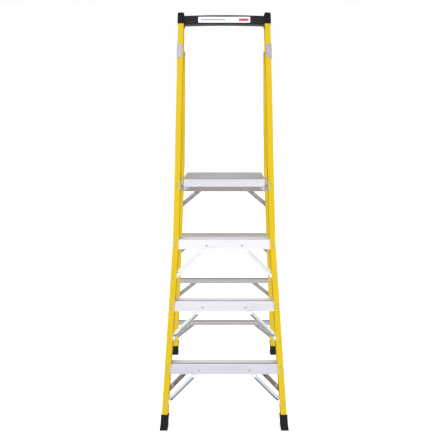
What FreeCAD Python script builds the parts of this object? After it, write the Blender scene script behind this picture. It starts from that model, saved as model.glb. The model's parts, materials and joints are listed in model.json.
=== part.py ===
import FreeCAD, Part
import math
import os

# Platform step ladder: a front section with three treads, a guard-rail top and a platform,
# and a rear section that folds against it. Millimetres, +Z up, the climber faces +Y.
# Left is -X. The floor is z = 0 and the origin is the middle of the footprint.

V = FreeCAD.Vector
X_AXIS = V(1, 0, 0)
ORIGIN = V(0, 0, 0)
os.makedirs("parts", exist_ok=True)

# ---------------------------------------------------------------- driving dimensions
FRONT_LEAN = 14.5          # degrees, front rails lean back
REAR_LEAN = 20.1           # degrees, rear rails lean forward
TREAD_SPACING = 304.8      # along the rails, 12 inches
BOTTOM_TREAD_TOP = 303.7   # height of the lowest tread
TREAD_COUNT = 3
FRONT_TOP = 2084.0         # slope height of the end caps' tops

FRONT_DEPTH = 80.0         # front rail, front flange to rear flange
REAR_DEPTH = 62.0
FLANGE = 29.0
WALL = 4.0
CORNER = 3.5               # outer corner radius of a rail
TIP = 1.2                  # radius on the flange tips

# Outer half-widths of the rails: (slope height, half-width), straight between the points.
FRONT_LINE = [(-90.0, 312.2), (919.0, 253.5), (2078.0, 234.0)]
REAR_LINE = [(-90.0, 325.0), (1278.0, 249.5), (1960.0, 232.2)]

PIVOT_HEIGHT = 1892.0      # slope height of the rear section's hinge on the front rails
PIVOT_DEPTH = 114.0        # behind the front flange's face
HINGE_BOLT_R = 6.0
RUNNING = 0.06             # radial clearance of a running fit

TREAD_SKIRT = 46.0
TREAD_SHEET = 2.6
TREAD_RIBS = 9
RIB = 1.2
NOSE_DROP = 9.0            # groove under a tread's front edge: lower side, height and depth
NOSE_GAP = 4.5
NOSE_GROOVE = 2.2

REAR_BAR_TOP = 250.9       # slope height of the lowest rear bar's top
REAR_BAR_COUNT = 4
REAR_BAR_HEIGHT = 29.0
REAR_BAR_DEPTH = 14.0
REAR_BAR_SHEET = 2.5

RIVET_R = 2.4
RIVET_HEAD_R = 5.2
RIVET_HEAD_H = 2.4
FLANGE_RIVET_IN = 13.5     # from the rail's outer face to a rivet in its flange

BOOT_WALL = 3.0
FRONT_BOOT_HEIGHT = 74.0
REAR_BOOT_HEIGHT = 66.0
BOOT_RIVET_DROP = 16.0     # from a boot's rim down to its rivets
PAD_HEIGHT = 7.0

PLATFORM_DEPTH = 371.0
PLATFORM_HALF = 202.0      # outer faces of the side plates
PLATFORM_LIP = 40.0
SIDE_SHEET = 4.0
PLATFORM_PIVOT_BACK = 32.0 # behind the platform's front edge
PLATFORM_PIVOT_DOWN = 47.0 # below the platform's top
PLATFORM_BOLT_R = 5.0

BRACE_WIDTH = 24.0
BRACE_SHEET = 2.0
BRACE_BULGE = 7.0
FOOT_TAB = 46.0            # flat end behind a rail's flange
HEAD_TAB = 50.0            # flat end behind a tread's skirt or a rear bar
TAB_END = 9.0              # from a rivet to the end of its tab
BRACE_FOOT_DROP = 183.0    # from a tread's top down to its front brace's foot
BRACE_HEAD_DROP = 28.0
BRACE_REACH = 163.0
REAR_FOOT_DROP = 150.0     # the same for the bottom tread's rear brace
REAR_BRACE_REACH = 124.0
BAR_BRACE_DROP = 108.0     # a rear bar's brace, head to foot
BAR_BRACE_REACH = 117.0

BAR_LOW = 2020.0           # slope height of the guard bar's underside
BAR_HEIGHT = 46.0
BAR_ARCH = 5.0             # rise of its edges at the middle
BAR_FRONT = WALL
BAR_DEPTH = 32.0
BAR_RIM = 6.0
BAR_CELLS = 6
BAR_END = 34.0             # solid ends that the bolts run into
BAR_DIMPLE_X = 160.0       # shallow round recesses beside the label
BAR_DIMPLE_R = 6.5
BAR_BOLT_HEIGHT = BAR_LOW + BAR_HEIGHT / 2
BAR_BOLT_DEPTHS = (BAR_FRONT + 9, BAR_FRONT + 23)
LABEL_HALF = 132.0
LABEL_HEIGHT = 31.0

BRACKET_LOW = 1848.0
BRACKET_HIGH = 1919.0
BRACKET_SHEET = 3.0
BRACKET_EAR = 20.0
BRACKET_LIP = 25.0         # how far its lip reaches over the front flange

DECK_SHEET = 2.8
DECK_RIBS = 24
FRONT_RAIL_DEPTH = 30.0
REAR_RAIL_DEPTH = 22.0
REAR_RAIL_LIP = 34.0
LEDGE = 14.0
EXTRUSION = 3.0
CLEAT_SHEET = 2.5
HOOK_GAP = 0.8             # between a side plate's hook and the rear bar it sits over
HOOK_NOSE = 10.0
EAR = 15.0

LEG_OUTER = 219.5          # the platform bracket's two legs
LEG_INNER = 205.0
LEG_SHEET = 3.0

# ---------------------------------------------------------------- derived places
front_sin = math.sin(math.radians(FRONT_LEAN))
front_cos = math.cos(math.radians(FRONT_LEAN))
rear_sin = math.sin(math.radians(REAR_LEAN))
rear_cos = math.cos(math.radians(REAR_LEAN))

# The rear rails' centre line passes through the hinge, which sets how far the feet spread.
pivot_run = PIVOT_HEIGHT * front_sin + PIVOT_DEPTH * front_cos
pivot_rise = PIVOT_HEIGHT * front_cos - PIVOT_DEPTH * front_sin
rear_half = REAR_DEPTH / 2
spread = pivot_run - rear_half * rear_cos + (pivot_rise - rear_half * rear_sin) * rear_sin / rear_cos
foot_print = spread + BOOT_WALL / front_cos + (REAR_DEPTH + BOOT_WALL) / rear_cos
front_y = -foot_print / 2 + BOOT_WALL / front_cos
rear_y = front_y + spread
rear_pivot_height = pivot_rise * rear_cos + (rear_y - front_y - pivot_run) * rear_sin

tread_rise = TREAD_SPACING * front_cos
rear_flange_lift = FRONT_DEPTH * front_sin / front_cos
platform_top = BOTTOM_TREAD_TOP + TREAD_COUNT * tread_rise
platform_front = front_y + platform_top * front_sin / front_cos
platform_rear = platform_front + PLATFORM_DEPTH
platform_pivot_y = platform_front + PLATFORM_PIVOT_BACK
platform_pivot_z = platform_top - PLATFORM_PIVOT_DOWN


def front_local(y, z):
    """Depth and slope height, in the front rails' frame, of a point of the side view."""
    run = y - front_y
    return run * front_cos - z * front_sin, run * front_sin + z * front_cos


def rear_world(depth, height):
    """Y and Z of a point given in the rear rails' frame."""
    y = rear_y - height * rear_sin + depth * rear_cos
    return y, height * rear_cos + depth * rear_sin


platform_pivot_depth, platform_pivot_height = front_local(platform_pivot_y, platform_pivot_z)
TREAD_TOPS = [BOTTOM_TREAD_TOP + i * tread_rise for i in range(TREAD_COUNT)]
REAR_BAR_TOPS = [REAR_BAR_TOP + i * TREAD_SPACING for i in range(REAR_BAR_COUNT)]


# ---------------------------------------------------------------- helpers
def rounded_face(points, radii):
    """A flat face with straight sides between rounded corners; radius 0 leaves a corner sharp."""
    count = len(points)
    stops = []
    for i in range(count):
        here = points[i]
        back = (points[i - 1] - here).normalize()
        ahead = (points[(i + 1) % count] - here).normalize()
        if radii[i] == 0:
            stops.append((here, None, here))
            continue
        half = back.getAngle(ahead) / 2
        cut = radii[i] / math.tan(half)
        middle = (back + ahead).normalize() * (radii[i] / math.sin(half) - radii[i])
        stops.append((here + back * cut, here + middle, here + ahead * cut))
    edges = []
    for i in range(count):
        start, middle, end = stops[i]
        previous = stops[i - 1][2]
        if previous.distanceToPoint(start) > 1e-6:
            edges.append(Part.LineSegment(previous, start).toShape())
        if middle is not None:
            edges.append(Part.Arc(start, middle, end).toShape())
    return Part.Face(Part.Wire(edges))


def side_plate(outline, radii, x0, x1):
    """A plate between x0 and x1 whose outline is given as (y, z) points."""
    face = rounded_face([V(x0, y, z) for y, z in outline], radii)
    return face.extrude(V(x1 - x0, 0, 0))


def front_plate(outline, radii, y0, y1):
    """A plate between y0 and y1 whose outline is given as (x, z) points."""
    face = rounded_face([V(x, y0, z) for x, z in outline], radii)
    return face.extrude(V(0, y1 - y0, 0))


def box(x0, x1, y0, y1, z0, z1):
    return Part.makeBox(x1 - x0, y1 - y0, z1 - z0, V(x0, y0, z0))


def rod(radius, x0, x1, y, z):
    """A cylinder along X from x0 to x1."""
    return Part.makeCylinder(radius, x1 - x0, V(x0, y, z), X_AXIS)


def hexagon(across, x0, x1, y, z):
    """A hexagonal prism along X, such as a bolt's head or nut."""
    corner = across / math.sqrt(3)
    turns = [math.radians(60 * i) for i in range(6)]
    outline = [(y + corner * math.cos(a), z + corner * math.sin(a)) for a in turns]
    return side_plate(outline, [0] * 6, x0, x1)


def fused(shapes):
    shape = shapes[0]
    if len(shapes) > 1:
        shape = shape.multiFuse(shapes[1:])
    return shape.removeSplitter()


def mirrored(shape):
    return shape.mirror(ORIGIN, X_AXIS)


def to_front(shape):
    """From the front rails' upright frame to their lean and place."""
    placed = shape.copy()
    placed.rotate(ORIGIN, X_AXIS, -FRONT_LEAN)
    placed.translate(V(0, front_y, 0))
    return placed


def to_rear(shape):
    placed = shape.copy()
    placed.rotate(ORIGIN, X_AXIS, REAR_LEAN)
    placed.translate(V(0, rear_y, 0))
    return placed


def above(shape, z):
    """What is left of a placed shape above a level."""
    return shape.cut(box(-900, 900, -1500, 1500, z - 400, z))


def save(name, shape):
    if shape.ShapeType == "Compound" and len(shape.Solids) == 1:
        shape = shape.Solids[0]
    shape.exportStep("parts/" + name + ".step")


def save_pair(name, right):
    save(name + "_right", right)
    save(name + "_left", mirrored(right))


def save_both_sides(name, shapes):
    """One node with the given solids and their mirror images."""
    save(name, Part.makeCompound(shapes + [mirrored(shape) for shape in shapes]))


def half_width(line, height):
    for (h0, x0), (h1, x1) in zip(line, line[1:]):
        if height <= h1:
            break
    return x0 + (x1 - x0) * (height - h0) / (h1 - h0)


def into_web(line, run=0):
    """Direction square to the web of a rail's given run, towards the inside."""
    (h0, x0), (h1, x1) = line[run:run + 2]
    return V(h0 - h1, 0, x1 - x0).normalize()


def channel(line, y0, y1, flange, wall, corner):
    """A C-channel on the +X side that follows the line, with its flanges pointing inwards."""
    runs = []
    for (h0, x0), (h1, x1) in zip(line, line[1:]):
        tip = x0 - flange
        inside = x0 - wall
        outline = [
            (x0, y0), (x0, y1), (tip, y1), (tip, y1 - wall),
            (inside, y1 - wall), (inside, y0 + wall), (tip, y0 + wall), (tip, y0),
        ]
        radii = [corner, corner, TIP, TIP, TIP, TIP, TIP, TIP]
        face = rounded_face([V(x, y, h0) for x, y in outline], radii)
        runs.append(face.extrude(V(x1 - x0, 0, h1 - h0)))
    return fused(runs)


def part_line(line, low, high):
    """The stretch of a rail line between two slope heights."""
    inner = [point for point in line if low < point[0] < high]
    return [(low, half_width(line, low))] + inner + [(high, half_width(line, high))]


def cap_of(radius, height, at, out):
    """A domed cap whose flat base is centred at a point and that stands out along a direction."""
    ball = (radius * radius + height * height) / (2 * height)
    latitude = math.degrees(math.asin((ball - height) / ball))
    centre = at - out * (ball - height)
    return Part.makeSphere(ball, centre, out, latitude, 90, 360)


def rivet(at, into, grip):
    """A rivet with its domed head at a point, its shank through the grip and a formed tail."""
    head = cap_of(RIVET_HEAD_R, RIVET_HEAD_H, at, into * -1)
    tail = cap_of(RIVET_HEAD_R * 0.75, RIVET_HEAD_H * 0.8, at + into * grip, into)
    shank = Part.makeCylinder(RIVET_R, grip, at, into)
    return fused([head, shank, tail])


def rivet_hole(at, into, grip):
    return Part.makeCylinder(RIVET_R, grip + 2, at - into, into)


class RivetSet:
    """The rivets of one section: each is kept with its hole, in that section's frame."""

    def __init__(self):
        self.groups = {}

    def add(self, group, at, into, grip):
        self.groups.setdefault(group, []).append((at, into, grip))

    def drill(self, shape):
        holes = []
        for rivets in self.groups.values():
            holes += [rivet_hole(*each) for each in rivets]
        near = [hole for hole in holes if shape.BoundBox.intersect(hole.BoundBox)]
        return shape.cut(near) if near else shape

    def solids(self, group):
        return [rivet(*each) for each in self.groups[group]]


INTO = V(0, 1, 0)
FORWARD = V(0, -1, 0)
INWARD = V(-1, 0, 0)
OUTWARD = V(1, 0, 0)
front_rivets = RivetSet()
rear_rivets = RivetSet()
platform_rivets = RivetSet()


# ---------------------------------------------------------------- rails, boots and end caps
def rail(line, depth, top):
    return channel(part_line(line, line[0][0], top), 0, depth, FLANGE, WALL, CORNER)


def boot(line, depth, height, placed_rail, place):
    """A moulded boot round the foot of a rail, with a grooved pad on the floor."""
    low = line[0][0]
    stretch = [(h, x + BOOT_WALL) for h, x in part_line(line, low, height)]
    flange = FLANGE + 2 * BOOT_WALL
    corner = CORNER + BOOT_WALL
    y0 = -BOOT_WALL
    y1 = depth + BOOT_WALL
    sleeve = channel(stretch, y0, y1, flange, WALL + 2 * BOOT_WALL, corner)
    (h0, x0), (h1, x1) = stretch[0], stretch[-1]
    outline = [(x0, y0), (x0, y1), (x0 - flange, y1), (x0 - flange, y0)]
    pad_face = rounded_face([V(x, y, h0) for x, y in outline], [corner, corner, TIP, TIP])
    pad = place(pad_face.extrude(V(x1 - x0, 0, h1 - h0)))
    pad = above(pad, 0).cut(box(0, 900, -1500, 1500, PAD_HEIGHT, 600))
    shell = above(place(sleeve), 0).cut(placed_rail)
    shape = fused([shell, pad])
    bounds = shape.BoundBox
    grooves = []
    for i in range(5):
        y = bounds.YMin + bounds.YLength * (i + 0.75) / 5.5
        grooves.append(box(0, 900, y - 1.5, y + 1.5, -1, 2))
    return shape.cut(grooves)


def boot_rivets(rivets, line, depth, rim):
    height = rim - BOOT_RIVET_DROP
    for share in (0.3, 0.7):
        at = V(half_width(line, height) + BOOT_WALL, depth * share, height)
        rivets.add("boot", at, into_web(line), WALL + 2 * BOOT_WALL)


def end_cap(placed_rail, placed_bar):
    """A moulded cap over a front rail's top, rounded outside and sloped on the inner corner."""
    low = FRONT_TOP - 58
    outer = half_width(FRONT_LINE, low) + BOOT_WALL
    inner = half_width(FRONT_LINE, low) - FLANGE - BOOT_WALL
    top = FRONT_TOP
    outline = [(inner, low), (outer, low), (outer - 1, top), (inner + 3, top), (inner, top - 9)]
    block = front_plate(outline, [0, 0, 6, 3, 3], -BOOT_WALL, FRONT_DEPTH + BOOT_WALL)
    pocket = box(inner + 4, outer - 10, WALL + 3, FRONT_DEPTH - WALL - 3, low - 1, top - 12)
    web = half_width(FRONT_LINE, BAR_BOLT_HEIGHT)
    holes = []
    for y in BAR_BOLT_DEPTHS:
        holes.append(rod(6.8, web, web + 20, y, BAR_BOLT_HEIGHT))
        holes.append(rod(3, web - 40, web, y, BAR_BOLT_HEIGHT))
    return to_front(block.cut([pocket] + holes)).cut([placed_rail, placed_bar])


# ---------------------------------------------------------------- guard bar
def arched_face(half, low, high, y):
    """A long face whose top and bottom edges both rise towards the middle."""
    points = [V(-half, y, low), V(-half, y, high), V(half, y, high), V(half, y, low)]
    top = Part.Arc(points[1], V(0, y, high + BAR_ARCH), points[2]).toShape()
    bottom = Part.Arc(points[3], V(0, y, low + BAR_ARCH), points[0]).toShape()
    left = Part.LineSegment(points[0], points[1]).toShape()
    right = Part.LineSegment(points[2], points[3]).toShape()
    return Part.Face(Part.Wire([left, top, right, bottom]))


def guard_bar():
    half = half_width(FRONT_LINE, BAR_LOW + BAR_HEIGHT) - WALL - 0.5
    high = BAR_LOW + BAR_HEIGHT
    bar = arched_face(half, BAR_LOW, high, BAR_FRONT).extrude(V(0, BAR_DEPTH, 0))
    recess = arched_face(200, BAR_LOW + BAR_RIM, high - BAR_RIM, BAR_FRONT - 1).extrude(V(0, 3, 0))
    cuts = [recess]
    width = 2 * (half - BAR_END) / BAR_CELLS
    back = BAR_FRONT + BAR_DEPTH
    for i in range(BAR_CELLS):
        left = -half + BAR_END + i * width + 2.5
        cuts.append(box(left, left + width - 5, BAR_FRONT + 7, back + 1, BAR_LOW + 10.5, high - 5.5))
    for side in (-1, 1):
        at = V(side * BAR_DIMPLE_X, BAR_FRONT, BAR_LOW + BAR_HEIGHT / 2 + 3)
        cuts.append(Part.makeCylinder(BAR_DIMPLE_R, 3.5, at, INTO))
    return bar.cut(cuts)


def label_plate():
    middle = BAR_LOW + BAR_HEIGHT / 2 + 4
    outline = [
        (-LABEL_HALF, middle - LABEL_HEIGHT / 2), (LABEL_HALF, middle - LABEL_HEIGHT / 2),
        (LABEL_HALF, middle + LABEL_HEIGHT / 2), (-LABEL_HALF, middle + LABEL_HEIGHT / 2),
    ]
    return front_plate(outline, [3] * 4, BAR_FRONT + 1.2, BAR_FRONT + 2)


def bar_bolts():
    """Hex bolts through a rail's web into the end of the guard bar."""
    z = BAR_BOLT_HEIGHT
    seat = half_width(FRONT_LINE, z) + 0.2
    bolts = []
    for y in BAR_BOLT_DEPTHS:
        bolts.append(fused([hexagon(10, seat, seat + 4, y, z), rod(3, seat - 30, seat, y, z)]))
    return bolts


# ---------------------------------------------------------------- hinge at the top
def hinge_bracket():
    """Sheet-metal bracket: a lip over the front flange and a cheek that carries the hinge bolt."""
    low = half_width(FRONT_LINE, BRACKET_LOW)
    slope = half_width(FRONT_LINE, BRACKET_HIGH) - low
    ear_y = PIVOT_DEPTH + BRACKET_EAR
    outline = [
        (-BRACKET_SHEET, BRACKET_LOW), (FRONT_DEPTH - 6, BRACKET_LOW),
        (ear_y, PIVOT_HEIGHT - BRACKET_EAR), (ear_y, PIVOT_HEIGHT + BRACKET_EAR),
        (FRONT_DEPTH, BRACKET_HIGH), (-BRACKET_SHEET, BRACKET_HIGH),
    ]
    cheek_face = rounded_face([V(low, y, z) for y, z in outline], [0, 10, 19, 19, 8, 0])
    cheek = cheek_face.extrude(V(BRACKET_SHEET, 0, 0))
    matrix = FreeCAD.Matrix()
    matrix.A13 = slope / (BRACKET_HIGH - BRACKET_LOW)
    matrix.A14 = -matrix.A13 * BRACKET_LOW
    cheek = cheek.transformGeometry(matrix)
    lip_outline = [
        (low - BRACKET_LIP, BRACKET_LOW), (low + BRACKET_SHEET, BRACKET_LOW),
        (low + slope + BRACKET_SHEET, BRACKET_HIGH), (low + slope - BRACKET_LIP, BRACKET_HIGH),
    ]
    lip = front_plate(lip_outline, [5, 0, 0, 5], -BRACKET_SHEET, 0)
    hole = rod(HINGE_BOLT_R, low - 20, low + 20, PIVOT_DEPTH, PIVOT_HEIGHT)
    return fused([cheek, lip]).cut(hole)


def hinge_bolt():
    """Bolt with a domed head outside the bracket, fixed in it; the rear rail turns on its shank."""
    web = half_width(FRONT_LINE, PIVOT_HEIGHT) + BRACKET_SHEET + 0.5
    shank = rod(HINGE_BOLT_R, 205, web, PIVOT_DEPTH, PIVOT_HEIGHT)
    head = cap_of(11, 5, V(web, PIVOT_DEPTH, PIVOT_HEIGHT), OUTWARD)
    return fused([shank, head])


def hinge_nut():
    nut = hexagon(19, 203.5, 211, PIVOT_DEPTH, PIVOT_HEIGHT)
    return nut.cut(rod(HINGE_BOLT_R, 200, 220, PIVOT_DEPTH, PIVOT_HEIGHT))


def hinge_washer():
    """Spacer between the bracket's cheek and the rear rail's web."""
    washer = rod(13, 234.4, 236.8, PIVOT_DEPTH, PIVOT_HEIGHT)
    return washer.cut(rod(HINGE_BOLT_R, 230, 240, PIVOT_DEPTH, PIVOT_HEIGHT))


def hinge_block():
    """Moulded block inside the top of a rear rail, bored for the hinge bolt (rear frame)."""
    web = half_width(REAR_LINE, rear_pivot_height) - WALL - 0.6
    outline = [
        (WALL, rear_pivot_height - 42), (REAR_DEPTH - WALL, rear_pivot_height - 42),
        (REAR_DEPTH - WALL, rear_pivot_height + 22), (WALL, rear_pivot_height + 22),
    ]
    block = side_plate(outline, [2, 2, 12, 12], 211.6, web)
    return block.cut(rod(HINGE_BOLT_R + RUNNING, 200, 240, rear_half, rear_pivot_height))


# ---------------------------------------------------------------- treads and braces
def tread_outline(top):
    """Side view of a tread: a ribbed top between two skirts that lean with the rails."""
    lean = front_sin / front_cos

    def front_face(z):
        return front_y + z * lean + WALL / front_cos

    depth = (FRONT_DEPTH - 2 * WALL) / front_cos
    sheet = TREAD_SHEET / front_cos
    low = top - TREAD_SKIRT
    floor_z = top - RIB
    pitch = depth / TREAD_RIBS
    start = front_face(top)
    groove = top - NOSE_DROP
    points = [(front_face(low), low), (front_face(groove), groove)]
    points += [(front_face(z) + NOSE_GROOVE, z) for z in (groove + 0.8, groove + NOSE_GAP)]
    points += [(start, groove + NOSE_GAP + 0.8), (start, top - 1.5)]
    for i in range(TREAD_RIBS):
        left = start + i * pitch
        points.append((left + (1.3 if i == 0 else 0.3) * RIB, top))
        points.append((left + pitch * 0.45, top))
        if i < TREAD_RIBS - 1:
            points.append((left + pitch * 0.55, floor_z))
            points.append((left + pitch * 0.95, floor_z))
    points.append((start + depth - 1.5, top))
    points.append((front_face(top - 1.5) + depth, top - 1.5))
    points.append((front_face(low) + depth, low))
    points.append((front_face(low) + depth - sheet, low))
    under = top - RIB - TREAD_SHEET
    points.append((front_face(under) + depth - sheet, under))
    points.append((front_face(under) + 2 * sheet, under))
    points.append((front_face(groove) + 2 * sheet, groove))
    points.append((front_face(groove - 1) + sheet, groove - 1))
    points.append((front_face(low) + sheet, low))
    return points


def tread(top):
    slope_height = front_local(front_y + top * front_sin / front_cos, top)[1]
    half = half_width(FRONT_LINE, slope_height) - WALL - 3
    outline = tread_outline(top)
    return side_plate(outline, [0] * len(outline), -half, half)


def tread_rivets(top):
    for drop in (14, 36):
        height = (top - drop) / front_cos
        x = half_width(FRONT_LINE, height) - FLANGE_RIVET_IN
        front_rivets.add("tread", V(x, 0, height), INTO, WALL + TREAD_SHEET)
        rear_height = height + rear_flange_lift
        x = half_width(FRONT_LINE, rear_height) - FLANGE_RIVET_IN
        front_rivets.add("tread", V(x, FRONT_DEPTH, rear_height), FORWARD, WALL + TREAD_SHEET)


def behind_web(line):
    """All that lies outside a rail's inner web face, to trim the feet of braces with."""
    runs = []
    for (h0, x0), (h1, x1) in zip(line, line[1:]):
        inside = x0 - WALL - 0.3
        face = rounded_face([V(x, y, h0) for x, y in (
            (inside, -20), (inside + 60, -20),
            (inside + 60, FRONT_DEPTH + 20), (inside, FRONT_DEPTH + 20),
        )], [0] * 4)
        runs.append(face.extrude(V(x1 - x0, 0, h1 - h0)))
    return runs


def brace(foot, head, seat, backing, out):
    """A pressed diagonal strut between two rivet centres (x, slope height).

    Its flat ends lie against the plane y = seat and its ribbed middle stands out the way
    `out` points; the foot is packed out by `backing` to reach the rail's flange."""
    run = V(head[0] - foot[0], 0, head[1] - foot[1])
    length = run.Length
    half = BRACE_WIDTH / 2
    sheet = -out * BRACE_SHEET
    foot_end = FOOT_TAB - TAB_END
    head_start = length - HEAD_TAB + TAB_END
    tabs = []
    for start, end, radii in (
        (-TAB_END, foot_end, [8, 0, 0, 8]),
        (head_start, length + TAB_END, [0, 8, 8, 0]),
    ):
        thick = sheet - out * backing if start < 0 else sheet
        outline = [(start, -half), (end, -half), (end, half), (start, half)]
        face = rounded_face([V(x, seat + sheet - thick, z) for x, z in outline], radii)
        tabs.append(face.extrude(V(0, thick, 0)))
    rib = half - 5
    ridge = seat + out * BRACE_BULGE
    x0 = foot_end - 0.5
    x1 = head_start + 0.5
    section = [
        (seat, -half), (ridge, -rib), (ridge, rib), (seat, half), (seat + sheet, half),
        (ridge + sheet, rib - 0.5), (ridge + sheet, 0.5 - rib), (seat + sheet, -half),
    ]
    corners = [V(x0, y, z) for y, z in section]
    middle = rounded_face(corners, [0] * 8).extrude(V(x1 - x0, 0, 0))
    strut = fused(tabs + [middle])
    turn = math.degrees(math.atan2(run.z, run.x))
    strut.rotate(ORIGIN, V(0, -1, 0), turn)
    strut.translate(V(foot[0], 0, foot[1]))
    return strut


def tread_front_brace(top):
    foot_height = (top - BRACE_FOOT_DROP) / front_cos
    foot = (half_width(FRONT_LINE, foot_height) - FLANGE_RIVET_IN, foot_height)
    head = (foot[0] - BRACE_REACH, (top - BRACE_HEAD_DROP) / front_cos)
    seat = WALL + TREAD_SHEET
    front_rivets.add("brace", V(foot[0], 0, foot[1]), INTO, WALL + TREAD_SHEET + BRACE_SHEET)
    front_rivets.add("brace", V(head[0], WALL, head[1]), INTO, TREAD_SHEET + BRACE_SHEET)
    return brace(foot, head, seat, TREAD_SHEET, -1).cut(behind_web(FRONT_LINE))


def tread_rear_brace(top):
    """The bottom tread's second brace, behind it, down to the rail's rear flange."""
    foot_height = (top - REAR_FOOT_DROP) / front_cos + rear_flange_lift
    foot = (half_width(FRONT_LINE, foot_height) - FLANGE_RIVET_IN, foot_height)
    head = (foot[0] - REAR_BRACE_REACH, (top - BRACE_HEAD_DROP) / front_cos + rear_flange_lift)
    seat = FRONT_DEPTH - WALL - TREAD_SHEET
    at_foot = V(foot[0], FRONT_DEPTH, foot[1])
    at_head = V(head[0], FRONT_DEPTH - WALL, head[1])
    front_rivets.add("brace", at_foot, FORWARD, WALL + TREAD_SHEET + BRACE_SHEET)
    front_rivets.add("brace", at_head, FORWARD, TREAD_SHEET + BRACE_SHEET)
    return brace(foot, head, seat, TREAD_SHEET, 1).cut(behind_web(FRONT_LINE))


# ---------------------------------------------------------------- rear bars and braces
def rear_bar(top):
    """An aluminium angle between the rear rails: a front face and a shelf that points back."""
    half = half_width(REAR_LINE, top) - WALL - 2
    low = top - REAR_BAR_HEIGHT
    back = WALL + REAR_BAR_DEPTH
    front = WALL
    outline = [
        (front, low), (front, top), (back, top), (back, top - 6), (back - REAR_BAR_SHEET, top - 6),
        (back - REAR_BAR_SHEET, top - REAR_BAR_SHEET), (front + REAR_BAR_SHEET, top - REAR_BAR_SHEET),
        (front + REAR_BAR_SHEET, low),
    ]
    return side_plate(outline, [0, 2, 1.5, 0, 0, 0, 0, 0], -half, half)


def rear_bar_rivets(top):
    for drop in (8, 21):
        height = top - drop
        x = half_width(REAR_LINE, height) - FLANGE_RIVET_IN
        rear_rivets.add("bar", V(x, 0, height), INTO, WALL + REAR_BAR_SHEET)


def rear_brace(top):
    head_height = top - 17
    foot_height = head_height - BAR_BRACE_DROP
    foot = (half_width(REAR_LINE, foot_height) - FLANGE_RIVET_IN, foot_height)
    head = (foot[0] - BAR_BRACE_REACH, head_height)
    seat = WALL + REAR_BAR_SHEET
    rear_rivets.add("brace", V(foot[0], 0, foot[1]), INTO, WALL + REAR_BAR_SHEET + BRACE_SHEET)
    rear_rivets.add("brace", V(head[0], WALL, head[1]), INTO, REAR_BAR_SHEET + BRACE_SHEET)
    return brace(foot, head, seat, REAR_BAR_SHEET, -1).cut(behind_web(REAR_LINE))


# ---------------------------------------------------------------- platform
def platform_front_rail():
    """Front edge extrusion: a tall front face, a tread-like top and a ledge under the deck."""
    y0 = platform_front
    top = platform_top
    low = top - PLATFORM_LIP
    y1 = y0 + FRONT_RAIL_DEPTH
    shelf = top - DECK_SHEET - RIB
    outline = [
        (y0, low), (y0, top - 7), (y0 + 1.2, top - 6), (y0, top - 5), (y0, top),
        (y1, top), (y1, shelf), (y1 + LEDGE, shelf), (y1 + LEDGE, shelf - EXTRUSION),
        (y0 + EXTRUSION, shelf - EXTRUSION), (y0 + EXTRUSION, low + EXTRUSION),
        (y0 + LEDGE, low + EXTRUSION), (y0 + LEDGE, low),
    ]
    radii = [1.5, 0, 0, 0, 2.5, 0.8, 0, 0, 0, 0, 0, 0, 0]
    return side_plate(outline, radii, -PLATFORM_HALF + SIDE_SHEET, PLATFORM_HALF - SIDE_SHEET)


def platform_rear_rail():
    y1 = platform_rear
    top = platform_top
    low = top - REAR_RAIL_LIP
    y0 = y1 - REAR_RAIL_DEPTH
    shelf = top - DECK_SHEET - RIB
    outline = [
        (y1, low), (y1, top), (y0, top), (y0, shelf), (y0 - LEDGE, shelf),
        (y0 - LEDGE, shelf - EXTRUSION), (y1 - EXTRUSION, shelf - EXTRUSION),
        (y1 - EXTRUSION, low + EXTRUSION), (y1 - LEDGE, low + EXTRUSION), (y1 - LEDGE, low),
    ]
    radii = [1.5, 5, 0.8, 0, 0, 0, 0, 0, 0, 0]
    return side_plate(outline, radii, -PLATFORM_HALF + SIDE_SHEET, PLATFORM_HALF - SIDE_SHEET)


def platform_deck():
    """Ribbed deck plate between the front and rear edge extrusions."""
    y0 = platform_front + FRONT_RAIL_DEPTH + 0.4
    y1 = platform_rear - REAR_RAIL_DEPTH - 0.4
    top = platform_top
    low = top - DECK_SHEET - RIB
    pitch = (y1 - y0) / DECK_RIBS
    points = [(y0, low)]
    for i in range(DECK_RIBS):
        left = y0 + i * pitch
        points.append((left + (0 if i == 0 else 0.05 * pitch), top))
        points.append((left + pitch * 0.5, top))
        points.append((left + pitch * 0.56, top - RIB))
        if i < DECK_RIBS - 1:
            points.append((left + pitch * 0.99, top - RIB))
    points.append((y1, top - RIB))
    points.append((y1, low))
    half = PLATFORM_HALF - SIDE_SHEET
    return side_plate(points, [0] * len(points), -half, half)


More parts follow.
